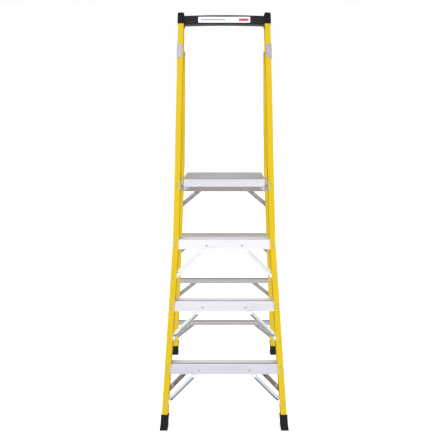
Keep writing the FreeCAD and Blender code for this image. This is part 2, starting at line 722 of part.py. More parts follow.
def platform_side():
    """Side plate with the pivot ear at its front and a hook over the top rear bar."""
    bar_top = REAR_BAR_TOPS[-1]
    front_corner = rear_world(WALL - HOOK_GAP, bar_top + HOOK_GAP)
    rear_corner = rear_world(WALL + REAR_BAR_DEPTH + HOOK_GAP, bar_top + HOOK_GAP)
    nose_in = rear_world(WALL + REAR_BAR_DEPTH + HOOK_GAP, bar_top - 11)
    nose_out = rear_world(WALL + REAR_BAR_DEPTH + HOOK_GAP + HOOK_NOSE, bar_top - 11)
    back = rear_world(WALL + REAR_BAR_DEPTH + HOOK_GAP + HOOK_NOSE, bar_top + 24)
    top = platform_top
    low = top - PLATFORM_LIP
    y0 = platform_front
    y1 = platform_rear
    ear_front = platform_pivot_y - EAR
    ear_rear = platform_pivot_y + EAR
    ear_low = platform_pivot_z - EAR
    tooth = (front_corner[0] - 11, front_corner[1] - 11)
    outline = [
        (y0, top), (y0, low), (ear_front, low), (ear_front, ear_low),
        (ear_rear, ear_low), (ear_rear + 12, low), (y1 - 40, low),
        (tooth[0] - 12, tooth[1] + 6), tooth, front_corner, rear_corner, nose_in, nose_out,
        back, (y1, top - 4), (y1, top),
    ]
    radii = [2.5, 1.5, 0, 12, 12, 6, 30, 4, 1.5, 0.5, 0.5, 1.5, 3, 14, 0, 4]
    inner = PLATFORM_HALF - SIDE_SHEET
    plate = side_plate(outline, radii, inner, PLATFORM_HALF)
    boss = rod(11.5, inner - 6, inner, platform_pivot_y, platform_pivot_z)
    bore = rod(PLATFORM_BOLT_R + RUNNING, 150, 250, platform_pivot_y, platform_pivot_z)
    return fused([plate, boss]).cut(bore)


def platform_cleats():
    """Angle cleats under the deck that join it to a side plate along its length."""
    inner = PLATFORM_HALF - SIDE_SHEET
    shelf = platform_top - DECK_SHEET - RIB
    y0 = platform_front + FRONT_RAIL_DEPTH + LEDGE + 1
    y1 = platform_rear - REAR_RAIL_DEPTH - LEDGE - 1
    outline = [
        (inner - 18, shelf), (inner, shelf), (inner, shelf - 20), (inner - CLEAT_SHEET, shelf - 20),
        (inner - CLEAT_SHEET, shelf - CLEAT_SHEET), (inner - 18, shelf - CLEAT_SHEET),
    ]
    return front_plate(outline, [0, 1, 0, 0, 1, 0], y0, y1)


def platform_stiffeners():
    """Two hat-shaped cross ribs under the deck."""
    ribs = []
    shelf = platform_top - DECK_SHEET - RIB
    inner = PLATFORM_HALF - SIDE_SHEET - 19
    for share in (0.37, 0.67):
        y = platform_front + PLATFORM_DEPTH * share
        half_hat = [(10.4, 0), (7.4, -20)]
        half_skin = [(9, -22), (12, -2), (22, -2), (22, 0)]
        right = half_skin + half_hat
        left = [(-run, rise) for run, rise in reversed(right)]
        outline = [(y + run, shelf + rise) for run, rise in right + left]
        ribs.append(side_plate(outline, [0] * len(outline), -inner, inner))
    return ribs


def platform_rivet_places():
    """Rivets through the side plates into the cleats, right side."""
    shelf = platform_top - DECK_SHEET - RIB
    x = PLATFORM_HALF
    for share in (0.22, 0.41, 0.60, 0.79):
        y = platform_front + PLATFORM_DEPTH * share
        platform_rivets.add("side", V(x, y, shelf - 12), INWARD, SIDE_SHEET + CLEAT_SHEET)


def platform_corner_blocks():
    """Moulded blocks that join the edge extrusions to a side plate."""
    inner = PLATFORM_HALF - SIDE_SHEET
    shelf = platform_top - DECK_SHEET - RIB - EXTRUSION
    y_front = platform_front + EXTRUSION
    y_rear = platform_rear - EXTRUSION
    front_low = platform_top - PLATFORM_LIP + EXTRUSION
    rear_low = platform_top - REAR_RAIL_LIP + EXTRUSION
    front = box(inner - 22, inner, y_front, y_front + 10, front_low, shelf)
    rear = box(inner - 22, inner, y_rear - 16, y_rear, rear_low, shelf)
    return [front, rear]


# ---------------------------------------------------------------- platform hinge on the front rails
def platform_bracket():
    """A strap bent into an arch: one leg by the rail, one by the platform, and a riveted tab."""
    low = platform_pivot_height - 16
    high = platform_pivot_height + 52
    back = platform_pivot_depth + 17
    front = platform_pivot_depth - 17
    width = LEG_OUTER - LEG_INNER
    outer = front_plate(
        [(LEG_INNER, low), (LEG_OUTER, low), (LEG_OUTER, high), (LEG_INNER, high)],
        [0, 0, width / 2 - 0.01, width / 2 - 0.01], front, back)
    gap = width / 2 - LEG_SHEET - 0.01
    inner = front_plate(
        [(LEG_INNER + LEG_SHEET, low - 1), (LEG_OUTER - LEG_SHEET, low - 1),
         (LEG_OUTER - LEG_SHEET, high - LEG_SHEET), (LEG_INNER + LEG_SHEET, high - LEG_SHEET)],
        [0, 0, gap, gap], front - 1, back + 1)
    arm = box(LEG_OUTER - LEG_SHEET, LEG_OUTER, WALL, front, low, platform_pivot_height + 26)
    tab = box(LEG_OUTER - LEG_SHEET, 242, WALL, WALL + LEG_SHEET, low, platform_pivot_height + 26)
    strap = fused([outer.cut(inner), arm, tab])
    return strap.cut(rod(PLATFORM_BOLT_R, 190, 230, platform_pivot_depth, platform_pivot_height))


def platform_bracket_rivets():
    for offset in (-6, 13):
        height = platform_pivot_height + offset
        x = half_width(FRONT_LINE, height) - 15
        front_rivets.add("platform", V(x, 0, height), INTO, WALL + LEG_SHEET)


def platform_bolt():
    """Pivot bolt, fixed in the bracket; the platform turns on its inner end."""
    y = platform_pivot_depth
    z = platform_pivot_height
    nut_face = PLATFORM_HALF - SIDE_SHEET - 6 - 0.5
    head = hexagon(16, LEG_OUTER, LEG_OUTER + 6, y, z)
    shank = rod(PLATFORM_BOLT_R, nut_face - 7, LEG_OUTER, y, z)
    nut = hexagon(15, nut_face - 6.5, nut_face, y, z)
    return fused([head, shank, nut])


def platform_spacer():
    """Collar on the pivot bolt between the strap's two legs."""
    x0 = LEG_INNER + LEG_SHEET
    x1 = LEG_OUTER - LEG_SHEET
    collar = rod(13, x0, x1, platform_pivot_depth, platform_pivot_height)
    return collar.cut(rod(PLATFORM_BOLT_R, x0 - 1, x1 + 1, platform_pivot_depth, platform_pivot_height))


# ---------------------------------------------------------------- rivets, before anything is drilled
for top in TREAD_TOPS:
    tread_rivets(top)
front_braces = [tread_front_brace(top) for top in TREAD_TOPS]
bottom_rear_brace = tread_rear_brace(TREAD_TOPS[0])
platform_bracket_rivets()
boot_rivets(front_rivets, FRONT_LINE, FRONT_DEPTH, FRONT_BOOT_HEIGHT)
for height in (BRACKET_LOW + 16, BRACKET_LOW + 50):
    for depth in (20, 58):
        at = V(half_width(FRONT_LINE, height) + BRACKET_SHEET, depth, height)
        front_rivets.add("hinge", at, into_web(FRONT_LINE, 1), BRACKET_SHEET + WALL)
for bar_top in REAR_BAR_TOPS:
    rear_bar_rivets(bar_top)
rear_braces = [rear_brace(bar_top) for bar_top in REAR_BAR_TOPS]
boot_rivets(rear_rivets, REAR_LINE, REAR_DEPTH, REAR_BOOT_HEIGHT)
platform_rivet_places()

# ---------------------------------------------------------------- front section
bar = guard_bar()
bolts = bar_bolts()
bolt_holes = [rod(3, 190, 260, y, BAR_BOLT_HEIGHT) for y in BAR_BOLT_DEPTHS]
bar = bar.cut(bolt_holes + [mirrored(hole) for hole in bolt_holes])
front_rail = front_rivets.drill(rail(FRONT_LINE, FRONT_DEPTH, FRONT_TOP - 6).cut(bolt_holes))
placed_front_rail = above(to_front(front_rail), PAD_HEIGHT)
save_pair("front_rail", placed_front_rail)

placed_bar = to_front(bar)
save("guard_bar", placed_bar)
save("label_plate", to_front(label_plate()))
save_both_sides("guard_bar_bolts", [to_front(each) for each in bolts])
save_pair("end_cap", end_cap(placed_front_rail, placed_bar))

front_boot = boot(FRONT_LINE, FRONT_DEPTH, FRONT_BOOT_HEIGHT, placed_front_rail, to_front)
boot_holes = [to_front(rivet_hole(*each)) for each in front_rivets.groups["boot"]]
save_pair("front_boot", front_boot.cut(boot_holes))

tread_places = front_rivets.groups["tread"] + front_rivets.groups["brace"]
front_holes = [to_front(rivet_hole(*each)) for each in tread_places]
front_holes += [mirrored(hole) for hole in front_holes]
for number, top in enumerate(TREAD_TOPS, 1):
    step = tread(top)
    near = [hole for hole in front_holes if hole.BoundBox.intersect(step.BoundBox)]
    save("tread_%d" % number, step.cut(near))
    save_pair("tread_%d_front_brace" % number, to_front(front_rivets.drill(front_braces[number - 1])))
save_pair("tread_1_rear_brace", to_front(front_rivets.drill(bottom_rear_brace)))
save_both_sides("tread_rivets", [to_front(rivet(*each)) for each in tread_places])
save_both_sides("front_boot_rivets", [to_front(each) for each in front_rivets.solids("boot")])

save_pair("hinge_bracket", to_front(front_rivets.drill(hinge_bracket())))
save_both_sides("hinge_bolts", [to_front(hinge_bolt()), to_front(hinge_nut())])
save_both_sides("hinge_washers", [to_front(hinge_washer())])

save_pair("platform_bracket", to_front(front_rivets.drill(platform_bracket())))
bracket_solids = front_rivets.solids("hinge") + front_rivets.solids("platform")
save_both_sides("bracket_rivets", [to_front(each) for each in bracket_solids])
save_both_sides("platform_pivot_bolts", [to_front(platform_bolt())])
save_both_sides("platform_pivot_collars", [to_front(platform_spacer())])

# ---------------------------------------------------------------- rear section
rear_rail = rail(REAR_LINE, REAR_DEPTH, rear_pivot_height + rear_half)
round_end = rod(rear_half, 150, 300, rear_half, rear_pivot_height)
square_end = box(150, 300, -1, REAR_DEPTH + 1, rear_pivot_height, rear_pivot_height + 60)
rear_rail = rear_rail.cut(square_end.cut(round_end))
rear_rail = rear_rail.cut(rod(HINGE_BOLT_R + RUNNING, 150, 300, rear_half, rear_pivot_height))
placed_rear_rail = above(to_rear(rear_rivets.drill(rear_rail)), PAD_HEIGHT)
save_pair("rear_rail", placed_rear_rail)
save_pair("hinge_block", to_rear(hinge_block()))

rear_boot = boot(REAR_LINE, REAR_DEPTH, REAR_BOOT_HEIGHT, placed_rear_rail, to_rear)
boot_holes = [to_rear(rivet_hole(*each)) for each in rear_rivets.groups["boot"]]
save_pair("rear_boot", rear_boot.cut(boot_holes))

rear_holes = [rivet_hole(*each) for each in rear_rivets.groups["bar"] + rear_rivets.groups["brace"]]
rear_holes += [mirrored(hole) for hole in rear_holes]
for number, bar_top in enumerate(REAR_BAR_TOPS, 1):
    angle = rear_bar(bar_top)
    near = [hole for hole in rear_holes if hole.BoundBox.intersect(angle.BoundBox)]
    save("rear_bar_%d" % number, to_rear(angle.cut(near)))
    save_pair("rear_bar_%d_brace" % number, to_rear(rear_rivets.drill(rear_braces[number - 1])))
rear_solids = rear_rivets.solids("bar") + rear_rivets.solids("brace")
save_both_sides("rear_frame_rivets", [to_rear(each) for each in rear_solids])
save_both_sides("rear_boot_rivets", [to_rear(each) for each in rear_rivets.solids("boot")])

# ---------------------------------------------------------------- platform
save("platform_deck", platform_deck())
save("platform_front_rail", platform_front_rail())
save("platform_rear_rail", platform_rear_rail())
save_pair("platform_side", platform_rivets.drill(platform_side()))
save_both_sides("platform_cleats", [platform_rivets.drill(platform_cleats())])
save("platform_stiffeners", Part.makeCompound(platform_stiffeners()))
save_both_sides("platform_corner_blocks", platform_corner_blocks())
save_both_sides("platform_rivets", platform_rivets.solids("side"))
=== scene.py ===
"""Looks of a platform step ladder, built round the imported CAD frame. Metres, +Z up.

The front section leans back and the rear section leans forward; each is described in its own
upright frame, with X across, Y from the front flange backwards and Z up along the rails.
"""
import json
import math

import bmesh
import bpy
from mathutils import Matrix, Vector


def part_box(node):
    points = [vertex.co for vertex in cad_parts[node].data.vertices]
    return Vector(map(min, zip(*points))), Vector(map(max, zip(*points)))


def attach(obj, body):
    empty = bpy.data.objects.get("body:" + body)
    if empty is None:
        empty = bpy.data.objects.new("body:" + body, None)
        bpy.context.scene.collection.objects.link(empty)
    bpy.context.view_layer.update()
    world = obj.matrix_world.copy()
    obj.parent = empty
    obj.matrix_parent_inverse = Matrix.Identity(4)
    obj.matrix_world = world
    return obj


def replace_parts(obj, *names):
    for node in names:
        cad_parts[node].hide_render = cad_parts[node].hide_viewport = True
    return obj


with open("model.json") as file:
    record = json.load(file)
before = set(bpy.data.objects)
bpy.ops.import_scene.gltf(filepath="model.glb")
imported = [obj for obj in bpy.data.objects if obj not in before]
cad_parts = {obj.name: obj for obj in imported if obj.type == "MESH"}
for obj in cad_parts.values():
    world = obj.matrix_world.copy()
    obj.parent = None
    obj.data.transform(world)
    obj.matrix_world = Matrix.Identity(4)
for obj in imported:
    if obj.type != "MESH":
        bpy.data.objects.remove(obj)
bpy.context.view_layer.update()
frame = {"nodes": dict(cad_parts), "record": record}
NODES = frame["nodes"]

# ---------------------------------------------------------------- sizes
MM = 0.001
FRONT_LEAN = math.radians(14.5)
REAR_LEAN = math.radians(-20.1)
FRONT_SPLAY = 0.058          # how far a rail's web moves in along each metre of its length
REAR_SPLAY = 0.055
SAME_LEVEL = 0.5 * MM        # corners this close to the top belong to it

# Softened extrusions.
SHARP = math.radians(32)     # an edge that turns less than this is part of a smooth face
ALONG = 0.9                  # how nearly an edge must run across the ladder to be rounded
SHORTEST_SOFT = 6 * MM       # shorter edges stay crisp
WELD = 0.02 * MM
FLAT = math.radians(0.6)     # faces closer than this to one plane are joined
EDGE = {                     # radius of each extrusion's lengthwise edges, in millimetres
    "tread_1": 0.4, "tread_2": 0.4, "tread_3": 0.4, "guard_bar": 1.0, "platform_front_rail": 0.4,
    "platform_rear_rail": 0.4, "platform_deck": 0.25, "rear_bar_1": 0.5, "rear_bar_2": 0.5,
    "rear_bar_3": 0.5, "rear_bar_4": 0.5,
}

# Boots.
BOOT_WALL = 3 * MM
BOOT_FLANGE = 35 * MM        # a boot's depth from its outer face inwards
BOOT_SLEEVE = 10 * MM        # thickness of the sleeve, with the rail's wall inside it
BOOT_STEPS = 40              # rings up the sleeve
BOOT_CORNER = 8 * MM
BOOT_INNER_CORNER = 1.5 * MM
FLARE, FLARE_HEIGHT = 1.0 * MM, 12 * MM
BEAD, BEAD_DROP, BEAD_RISE = 0.9 * MM, 9 * MM, 2 * MM
RIM_ROUND, RIM_ROUND_HEIGHT = 2.0 * MM, 1.8 * MM
BOOT_PAD = 7 * MM
PAD_PROUD = 1.5 * MM         # how far the pad stands out past the sleeve
PAD_EDGE = 1.2 * MM
PAD_GROOVES = 5
GROOVE_WIDE = 2.4 * MM       # half-widths of a groove at the floor, its shoulder and its root
GROOVE_SHOULDER, GROOVE_SHOULDER_HEIGHT = 1.5 * MM, 0.9 * MM
GROOVE_ROOT, GROOVE_DEPTH = 1.2 * MM, 2.2 * MM

# End caps.
CAP_STEPS = 48               # rings up the cap
CAP_CROWDING = 1.6           # how much closer the rings lie near the top
CAP_ROUND = 6 * MM
CAP_CHEEK = 9 * MM           # height over which the inner side slopes in
CAP_START, CAP_START_HEIGHT = 1.0 * MM, 1.2 * MM
CAP_TAPER = 1 * MM
CAP_CORNER, CAP_INNER_CORNER = 8 * MM, 3 * MM
CAP_SEAT_R = 6.8 * MM
CAP_SEAT_DEEP = 3 * MM
CAP_SEAT_IN = 0.6 * MM       # the outer face tapers, so the seats are sunk from this far inside it

# Pressed braces.
BRACE_WIDTH = 24 * MM
BRACE_SHEET = 2 * MM
BRACE_EDGE = 3 * MM          # flat rim beside the pressed rib
BRACE_SIDE = 7 * MM          # width of the rib's sloping side
BRACE_RAMP = 16 * MM         # length of the rib's sloping end
BRACE_CORNER = 8 * MM
BRACE_RIB = 14 * MM          # width of the rib in the CAD brace
BRACE_GRID = (72, 17)        # points along and across
HEAD_TAB, FOOT_TAB = 5 * MM, 9 * MM
FOOT_STEP = 26 * MM          # where the strip steps from its foot's plane to its head's
FOLD_RIM = 0.5 * MM          # the front braces' lower side is folded right to the edge
FOLD_PAST_FOOT, FOLD_PAST_HEAD = 7 * MM, 10 * MM

# A painted shade line on each tread's top, standing in for a groove that isn't modelled: how far behind
# the front edge it starts and ends.
GROOVE_SHADE_NEAR, GROOVE_SHADE_FAR = 22 * MM, 38 * MM

# Printed blocks on the label: left and right as shares of its half-width, half-height, colour.
LABEL_MARKS = (
    (-0.89, 0.04, 3.2 * MM, "8f8f96"),
    (0.56, 0.94, 6.5 * MM, "b8304a"),
)

# The camera stands in front at the height of the rails' upper part and looks slightly down.
CAMERA_BACK = 3.863          # from the front feet
CAMERA_HEIGHT = 1.586
CAMERA_PITCH = math.radians(8.486)
CAMERA_LENS = 67.68
CAMERA_SHIFT = -0.0016       # share of the picture's width
CAMERA_SENSOR = 36

# Light: strength of the room in front, behind and added overhead, then the two soft boxes.
ROOM_FRONT, ROOM_BACK, ROOM_TOP = 0.84, 0.36, 0.42
SOFT_BOX = 2.4
SOFT_BOXES = (("key", (-2.2, -3.6, 3.6), 46), ("fill", (2.6, -3.2, 2.2), 27))
LIT_AT = (0, 0, 1)
FLOOR_SIZE = 60
FLOOR_GLOW = 0.5

NOISE_SPAN = (0.35, 0.7)     # noise rarely leaves this range

# A boot's outer face, less its wall, gives the place of its section's upright frame.
front_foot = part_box("front_boot_right")[0].y + BOOT_WALL / math.cos(FRONT_LEAN)
FRONT_PLACE = Matrix.Translation((0, front_foot, 0)) @ Matrix.Rotation(-FRONT_LEAN, 4, "X")
rear_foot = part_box("rear_boot_right")[1].y - BOOT_WALL / math.cos(REAR_LEAN)
REAR_PLACE = Matrix.Translation((0, rear_foot, 0)) @ Matrix.Rotation(-REAR_LEAN, 4, "X")


# ---------------------------------------------------------------- colour and node helpers
def colour(code):
    """A linear RGBA colour from an sRGB hex code."""
    parts = [int(code[i:i + 2], 16) / 255 for i in (0, 2, 4)]
    return [c / 12.92 if c <= 0.04045 else ((c + 0.055) / 1.055) ** 2.4 for c in parts] + [1.0]


class Finish:
    """One procedural material. Its patterns lie in the object's own coordinates."""

    def __init__(self, name, base, roughness, metallic=0.0, turn=0.0, **sockets):
        self.material = bpy.data.materials.new(name)
        self.material.use_nodes = True
        self.tree = self.material.node_tree
        self.shader = self.tree.nodes["Principled BSDF"]
        self.shader.inputs["Metallic"].default_value = metallic
        self.shader.inputs["Base Color"].default_value = base
        self.shader.inputs["Roughness"].default_value = roughness
        for socket, value in sockets.items():
            self.shader.inputs[socket.replace("_", " ")].default_value = value
        self.coordinate = self.tree.nodes.new("ShaderNodeTexCoord").outputs["Object"]
        if turn:
            upright = self.node("ShaderNodeMapping", Vector=self.coordinate)
            upright.inputs["Rotation"].default_value = (turn, 0, 0)
            self.coordinate = upright.outputs["Vector"]
        self.base = base
        self.height = None

    def node(self, kind, settings=(), **sockets):
        made = self.tree.nodes.new(kind)
        for name, value in dict(settings).items():
            setattr(made, name, value)
        for name, value in sockets.items():
            socket = made.inputs[name.replace("_", " ")]
            if isinstance(value, bpy.types.NodeSocket):
                self.tree.links.new(value, socket)
            else:
                socket.default_value = value
        return made

    def noise(self, scale, stretch=(1, 1, 1), detail=3.0, rough=0.5):
        """Noise with about `scale` features to the metre, times the stretch along each axis."""
        place = self.node("ShaderNodeMapping", Vector=self.coordinate)
        place.inputs["Scale"].default_value = stretch
        made = self.node(
            "ShaderNodeTexNoise", Vector=place.outputs["Vector"], Scale=scale, Detail=detail,
            Roughness=rough)
        return made.outputs["Fac"]

    def cells(self, scale):
        made = self.node("ShaderNodeTexVoronoi", Vector=self.coordinate, Scale=scale)
        return made.outputs["Distance"]

    def remap(self, value, low, high, to_low, to_high):
        made = self.node(
            "ShaderNodeMapRange", {"clamp": True}, Value=value, From_Min=low, From_Max=high,
            To_Min=to_low, To_Max=to_high)
        return made.outputs["Result"]

    def math(self, operation, a, b):
        made = self.node("ShaderNodeMath", {"operation": operation})
        for socket, value in zip(made.inputs, (a, b)):
            if isinstance(value, bpy.types.NodeSocket):
                self.tree.links.new(value, socket)
            else:
                socket.default_value = value
        return made.outputs["Value"]

    def axis(self, name):
        split = self.node("ShaderNodeSeparateXYZ", Vector=self.coordinate)
        return split.outputs[name]

    def normal_axis(self, name):
        """One axis of the surface's direction, in the object's own coordinates."""
        facing = self.node("ShaderNodeTexCoord").outputs["Normal"]
        return self.node("ShaderNodeSeparateXYZ", Vector=facing).outputs[name]

    def band(self, value, low, high, soft):
        """1 between two values and 0 outside them."""
        rise = self.remap(value, low - soft, low + soft, 0, 1)
        fall = self.remap(value, high - soft, high + soft, 1, 0)
        return self.math("MULTIPLY", rise, fall)

    def tint(self, mask, other):
        """Mixes another colour in where the mask is 1."""
        mix = self.node("ShaderNodeMix", {"data_type": "RGBA"})
        self.tree.links.new(mask, mix.inputs["Factor"])
        under, over = [socket for socket in mix.inputs if socket.type == "RGBA"]
        if isinstance(self.base, bpy.types.NodeSocket):
            self.tree.links.new(self.base, under)
        else:
            under.default_value = self.base
        over.default_value = other
        self.base = next(socket for socket in mix.outputs if socket.type == "RGBA")
        self.tree.links.new(self.base, self.shader.inputs["Base Color"])

    def shine(self, value, smooth, rough):
        """Roughness that follows a pattern."""
        patterned = self.remap(value, *NOISE_SPAN, smooth, rough)
        self.tree.links.new(patterned, self.shader.inputs["Roughness"])

    def relief(self, value, depth, strength=1.0):
        """Bump of a real depth in metres; several reliefs add up."""
        bump = self.node("ShaderNodeBump", Height=value, Distance=depth, Strength=strength)
        if self.height is not None:
            self.tree.links.new(self.height, bump.inputs["Normal"])
        self.height = bump.outputs["Normal"]
        self.tree.links.new(self.height, self.shader.inputs["Normal"])


# ---------------------------------------------------------------- materials
def fibreglass(name, lean):
    """Pultruded yellow fibreglass: resin gloss over long glass fibres and a fine surface veil."""
    made = Finish(
        name, colour("cfb000"), 0.36, turn=lean, Specular_IOR_Level=0.25, Coat_Weight=0.08,
        Coat_Roughness=0.2)
    fibres = made.noise(420, (1, 1, 0.02), 4, 0.6)
    made.tint(made.remap(fibres, 0.42, 0.75, 0, 0.35), colour("ba9903"))
    cloud = made.noise(9, (1, 1, 0.5), 3)
    made.tint(made.remap(cloud, 0.4, 0.75, 0, 0.3), colour("d6bd0c"))
    veil = made.noise(900, (1, 1, 0.25), 2)
    made.shine(made.noise(60, (1, 1, 0.15), 4, 0.65), 0.27, 0.46)
    made.relief(fibres, 0.12 * MM, 0.5)
    made.relief(veil, 0.04 * MM, 0.4)
    return made.material


def extruded(name, code, rough, along=(0.012, 1, 1), serrated=False, top=None, groove_shades_at=()):
    """Mill-finish extruded aluminium with die lines along its length.

    `top` is a colour painted on the faces that look up: painted light on the treads and painted shade
    on the platform and the bars. The last argument gives the height and front edge of each tread that
    has a painted shade line along its top, standing in for a groove that isn't modelled.
    """
    made = Finish(name, colour(code), rough, metallic=0.82)
    lines = made.noise(1500, along, 3, 0.6)
    patches = made.noise(14, (0.35, 1, 1), 4, 0.6)
    made.tint(made.remap(lines, 0.45, 0.8, 0, 0.25), colour("a9a9ab"))
    made.tint(made.remap(patches, 0.45, 0.8, 0, 0.25), colour("c9c6c4"))
    made.shine(patches, rough - 0.07, rough + 0.1)
    made.relief(lines, 0.03 * MM, 0.6)
    upward = made.normal_axis("Z")
    # Painted light and shade: faces that look up take the top colour, lighter on the treads and darker
    # on the platform and the bars.
    if top:
        made.tint(made.remap(upward, 0.6, 0.85, 0, 1), colour(top))
    # Painted shade: a dark line along each tread's top, behind its nose, standing in for a groove that
    # isn't modelled.
    for height, front in groove_shades_at:
        line = made.band(made.axis("Y"), front + GROOVE_SHADE_NEAR, front + GROOVE_SHADE_FAR, 1.5 * MM)
        near = made.band(made.axis("Z"), height - 3 * MM, height + 3 * MM, 0.4 * MM)
        made.tint(made.math("MULTIPLY", line, near), colour("8f8d93"))
    if serrated:
        teeth = made.node(
            "ShaderNodeTexWave", {"bands_direction": "X", "wave_profile": "TRI"},
            Vector=made.coordinate, Scale=110, Distortion=0.0)
        on_top = made.remap(upward, 0.85, 0.95, 0, 1)
        made.relief(made.math("MULTIPLY", teeth.outputs["Fac"], on_top), 0.4 * MM, 0.8)
    return made.material


def pressed(name, code, darker, shade):
    """Pressed aluminium sheet with cloudy dull patches and painted shade where a side is turned down.
    """
    made = Finish(name, colour(code), 0.4, metallic=0.85)
    dull = made.noise(40, detail=4, rough=0.6)
    made.tint(made.remap(dull, 0.4, 0.75, 0, 0.5), colour(darker))
    # Painted shade: faces that turn down take the shade colour.
    made.tint(made.remap(made.normal_axis("Z"), 0.12, -0.2, 0, 1), colour(shade))
    made.shine(dull, 0.3, 0.48)
    made.relief(made.noise(700, detail=3), 0.03 * MM, 0.5)
    return made.material


def zinc(name):
    """Zinc plating: a fine crystalline pattern with a faint warm passivation."""
    made = Finish(name, colour("b3b1b6"), 0.38, metallic=0.75)
    crystal = made.cells(420)
    made.tint(made.remap(crystal, 0.1, 0.8, 0, 0.35), colour("9f9ea1"))
    made.tint(made.remap(made.noise(25, detail=4), 0.45, 0.8, 0, 0.3), colour("aaa492"))
    made.shine(made.noise(60, detail=4), 0.28, 0.46)
    made.relief(made.noise(1200, detail=2), 0.02 * MM, 0.6)
    return made.material


def rivet_metal(name):
    """Bare rivets, cloudy and a little dull."""
    made = Finish(name, colour("b1aca3"), 0.4, metallic=0.78)
    made.tint(made.remap(made.noise(160, detail=3), 0.4, 0.7, 0, 0.6), colour("918c80"))
    made.shine(made.noise(300, detail=3), 0.25, 0.5)
    return made.material


def moulded(name, code, lighter, rough, grain=0.06 * MM):
    """Black moulded plastic with a spark-eroded grain."""
    made = Finish(name, colour(code), rough, Specular_IOR_Level=0.18)
    made.tint(made.remap(made.noise(30, detail=4), 0.4, 0.75, 0, 0.5), colour(lighter))
    made.shine(made.noise(90, detail=4), rough - 0.08, rough + 0.12)
    made.relief(made.noise(1600, detail=3), grain, 0.6)
    return made.material


def label_film():
    """A plain white sticker: a grey rule and a red block, with no lettering."""
    made = Finish("label_film", colour("e9e9ec"), 0.32, turn=FRONT_LEAN, Coat_Weight=0.4)
    low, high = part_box("label_plate")
    across = made.axis("X")
    up = made.axis("Z")
    middle = (Matrix.Rotation(FRONT_LEAN, 4, "X") @ ((low + high) / 2)).z
    for left, right, half, code in LABEL_MARKS:
        wide = made.band(across, left * high.x, right * high.x, 0.4 * MM)
        tall = made.band(up, middle - half, middle + half, 0.4 * MM)
        made.tint(made.math("MULTIPLY", wide, tall), colour(code))
    speckle = made.noise(700, detail=2)
    made.tint(made.remap(speckle, 0.5, 0.8, 0, 0.07), colour("d9d9dc"))
    made.shine(made.noise(45, detail=4), 0.26, 0.42)
    made.relief(made.noise(400, detail=2), 0.02 * MM, 0.5)
    return made.material


# Each tread's height and front edge, for its painted shade line.
TREAD_GROOVE_SHADES = [
    (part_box(tread)[1].z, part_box(tread)[0].y) for tread in ("tread_1", "tread_2", "tread_3")]


def tread_finish(name, code):
    """Extruded aluminium with a serrated top, painted light on its upward faces and the treads' painted
    shade line.
    """
    return extruded(name, code, 0.4, serrated=True, top="f3f2f6", groove_shades_at=TREAD_GROOVE_SHADES)


# Lit and shaded copies of one finish, with light and shade painted in: the treads and the front braces
# differ in tone with their height, as soft light from above leaves them; the rear braces and the rear
# bar under the platform are painted darker for shade.
MATERIALS = {
    "front_fibreglass": fibreglass("front_fibreglass", FRONT_LEAN),
    "rear_fibreglass": fibreglass("rear_fibreglass", REAR_LEAN),
    "tread_aluminium": tread_finish("tread_aluminium", "dddce4"),
    "tread_low": tread_finish("tread_low", "d0cfda"),
    "tread_high": tread_finish("tread_high", "e9e8f0"),
    "deck_plate": extruded("deck_plate", "c3bfbe", 0.44),
    "deck_aluminium": extruded("deck_aluminium", "d1d0d8", 0.4, serrated=True, top="9d9998"),
    "bar_aluminium": extruded("bar_aluminium", "a8a4a4", 0.42, top="8f8b8a"),
    "shaded_bar": extruded("shaded_bar", "938d8a", 0.46, top="6f6a67"),
    "plate_aluminium": extruded("plate_aluminium", "d2d0d0", 0.42, along=(1, 0.02, 1)),
    "pressed_front": pressed("pressed_front", "e6e8ee", "cdcfd5", "646a72"),
    "pressed_low": pressed("pressed_low", "e6e8ee", "cdcfd5", "565c64"),
    "pressed_high": pressed("pressed_high", "eaecf1", "d8dade", "c6c9cf"),
    "pressed_rear": pressed("pressed_rear", "b2afaf", "989595", "8b8787"),
    "zinc_plate": zinc("zinc_plate"),
    "rivet_metal": rivet_metal("rivet_metal"),
    "guard_plastic": moulded("guard_plastic", "1d1b20", "29272d", 0.5),
    "cap_plastic": moulded("cap_plastic", "070709", "101014", 0.5),
    "boot_rubber": moulded("boot_rubber", "0e0e11", "1b1b1d", 0.62, 0.12 * MM),
    "label_film": label_film(),
}


# The first word found in a node's name picks its finish.
FINISH_RULES = (
    ("rivets", "rivet_metal"), ("platform_front_rail", "deck_aluminium"),
    ("platform_rear_rail", "deck_aluminium"), ("front_rail", "front_fibreglass"),
    ("rear_rail", "rear_fibreglass"), ("boot", "boot_rubber"), ("end_cap", "cap_plastic"),
    ("hinge_block", "cap_plastic"), ("corner_blocks", "cap_plastic"),
    ("guard_bar_bolts", "zinc_plate"), ("guard_bar", "guard_plastic"), ("label", "label_film"),
    ("hinge", "zinc_plate"), ("bracket", "zinc_plate"), ("pivot", "zinc_plate"),
    ("tread_3_front_brace", "pressed_high"), ("tread_1_front_brace", "pressed_low"),
    ("tread_2_front_brace", "pressed_front"), ("brace", "pressed_rear"),
    ("tread_1", "tread_low"), ("tread_3", "tread_high"), ("tread", "tread_aluminium"),
    ("rear_bar_4", "shaded_bar"), ("rear_bar", "bar_aluminium"),
    ("platform_side", "plate_aluminium"), ("platform_deck", "deck_plate"),
    ("platform", "deck_aluminium"),
)


def node_material(node):
    return MATERIALS[next(finish for word, finish in FINISH_RULES if word in node)]


# ---------------------------------------------------------------- pieces made from the frame's solids
BODY_OF = {
    node: body for body, nodes in frame["record"]["behaviour"]["bodies"].items() for node in nodes}


def piece(node, suffix, mesh):
    """A new object for a node's mesh, with the node's finish and body."""
    made = bpy.data.objects.new(node + suffix, mesh)
    bpy.context.scene.collection.objects.link(made)
    mesh.materials.clear()
    mesh.materials.append(node_material(node))
    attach(made, BODY_OF[node])
    return made


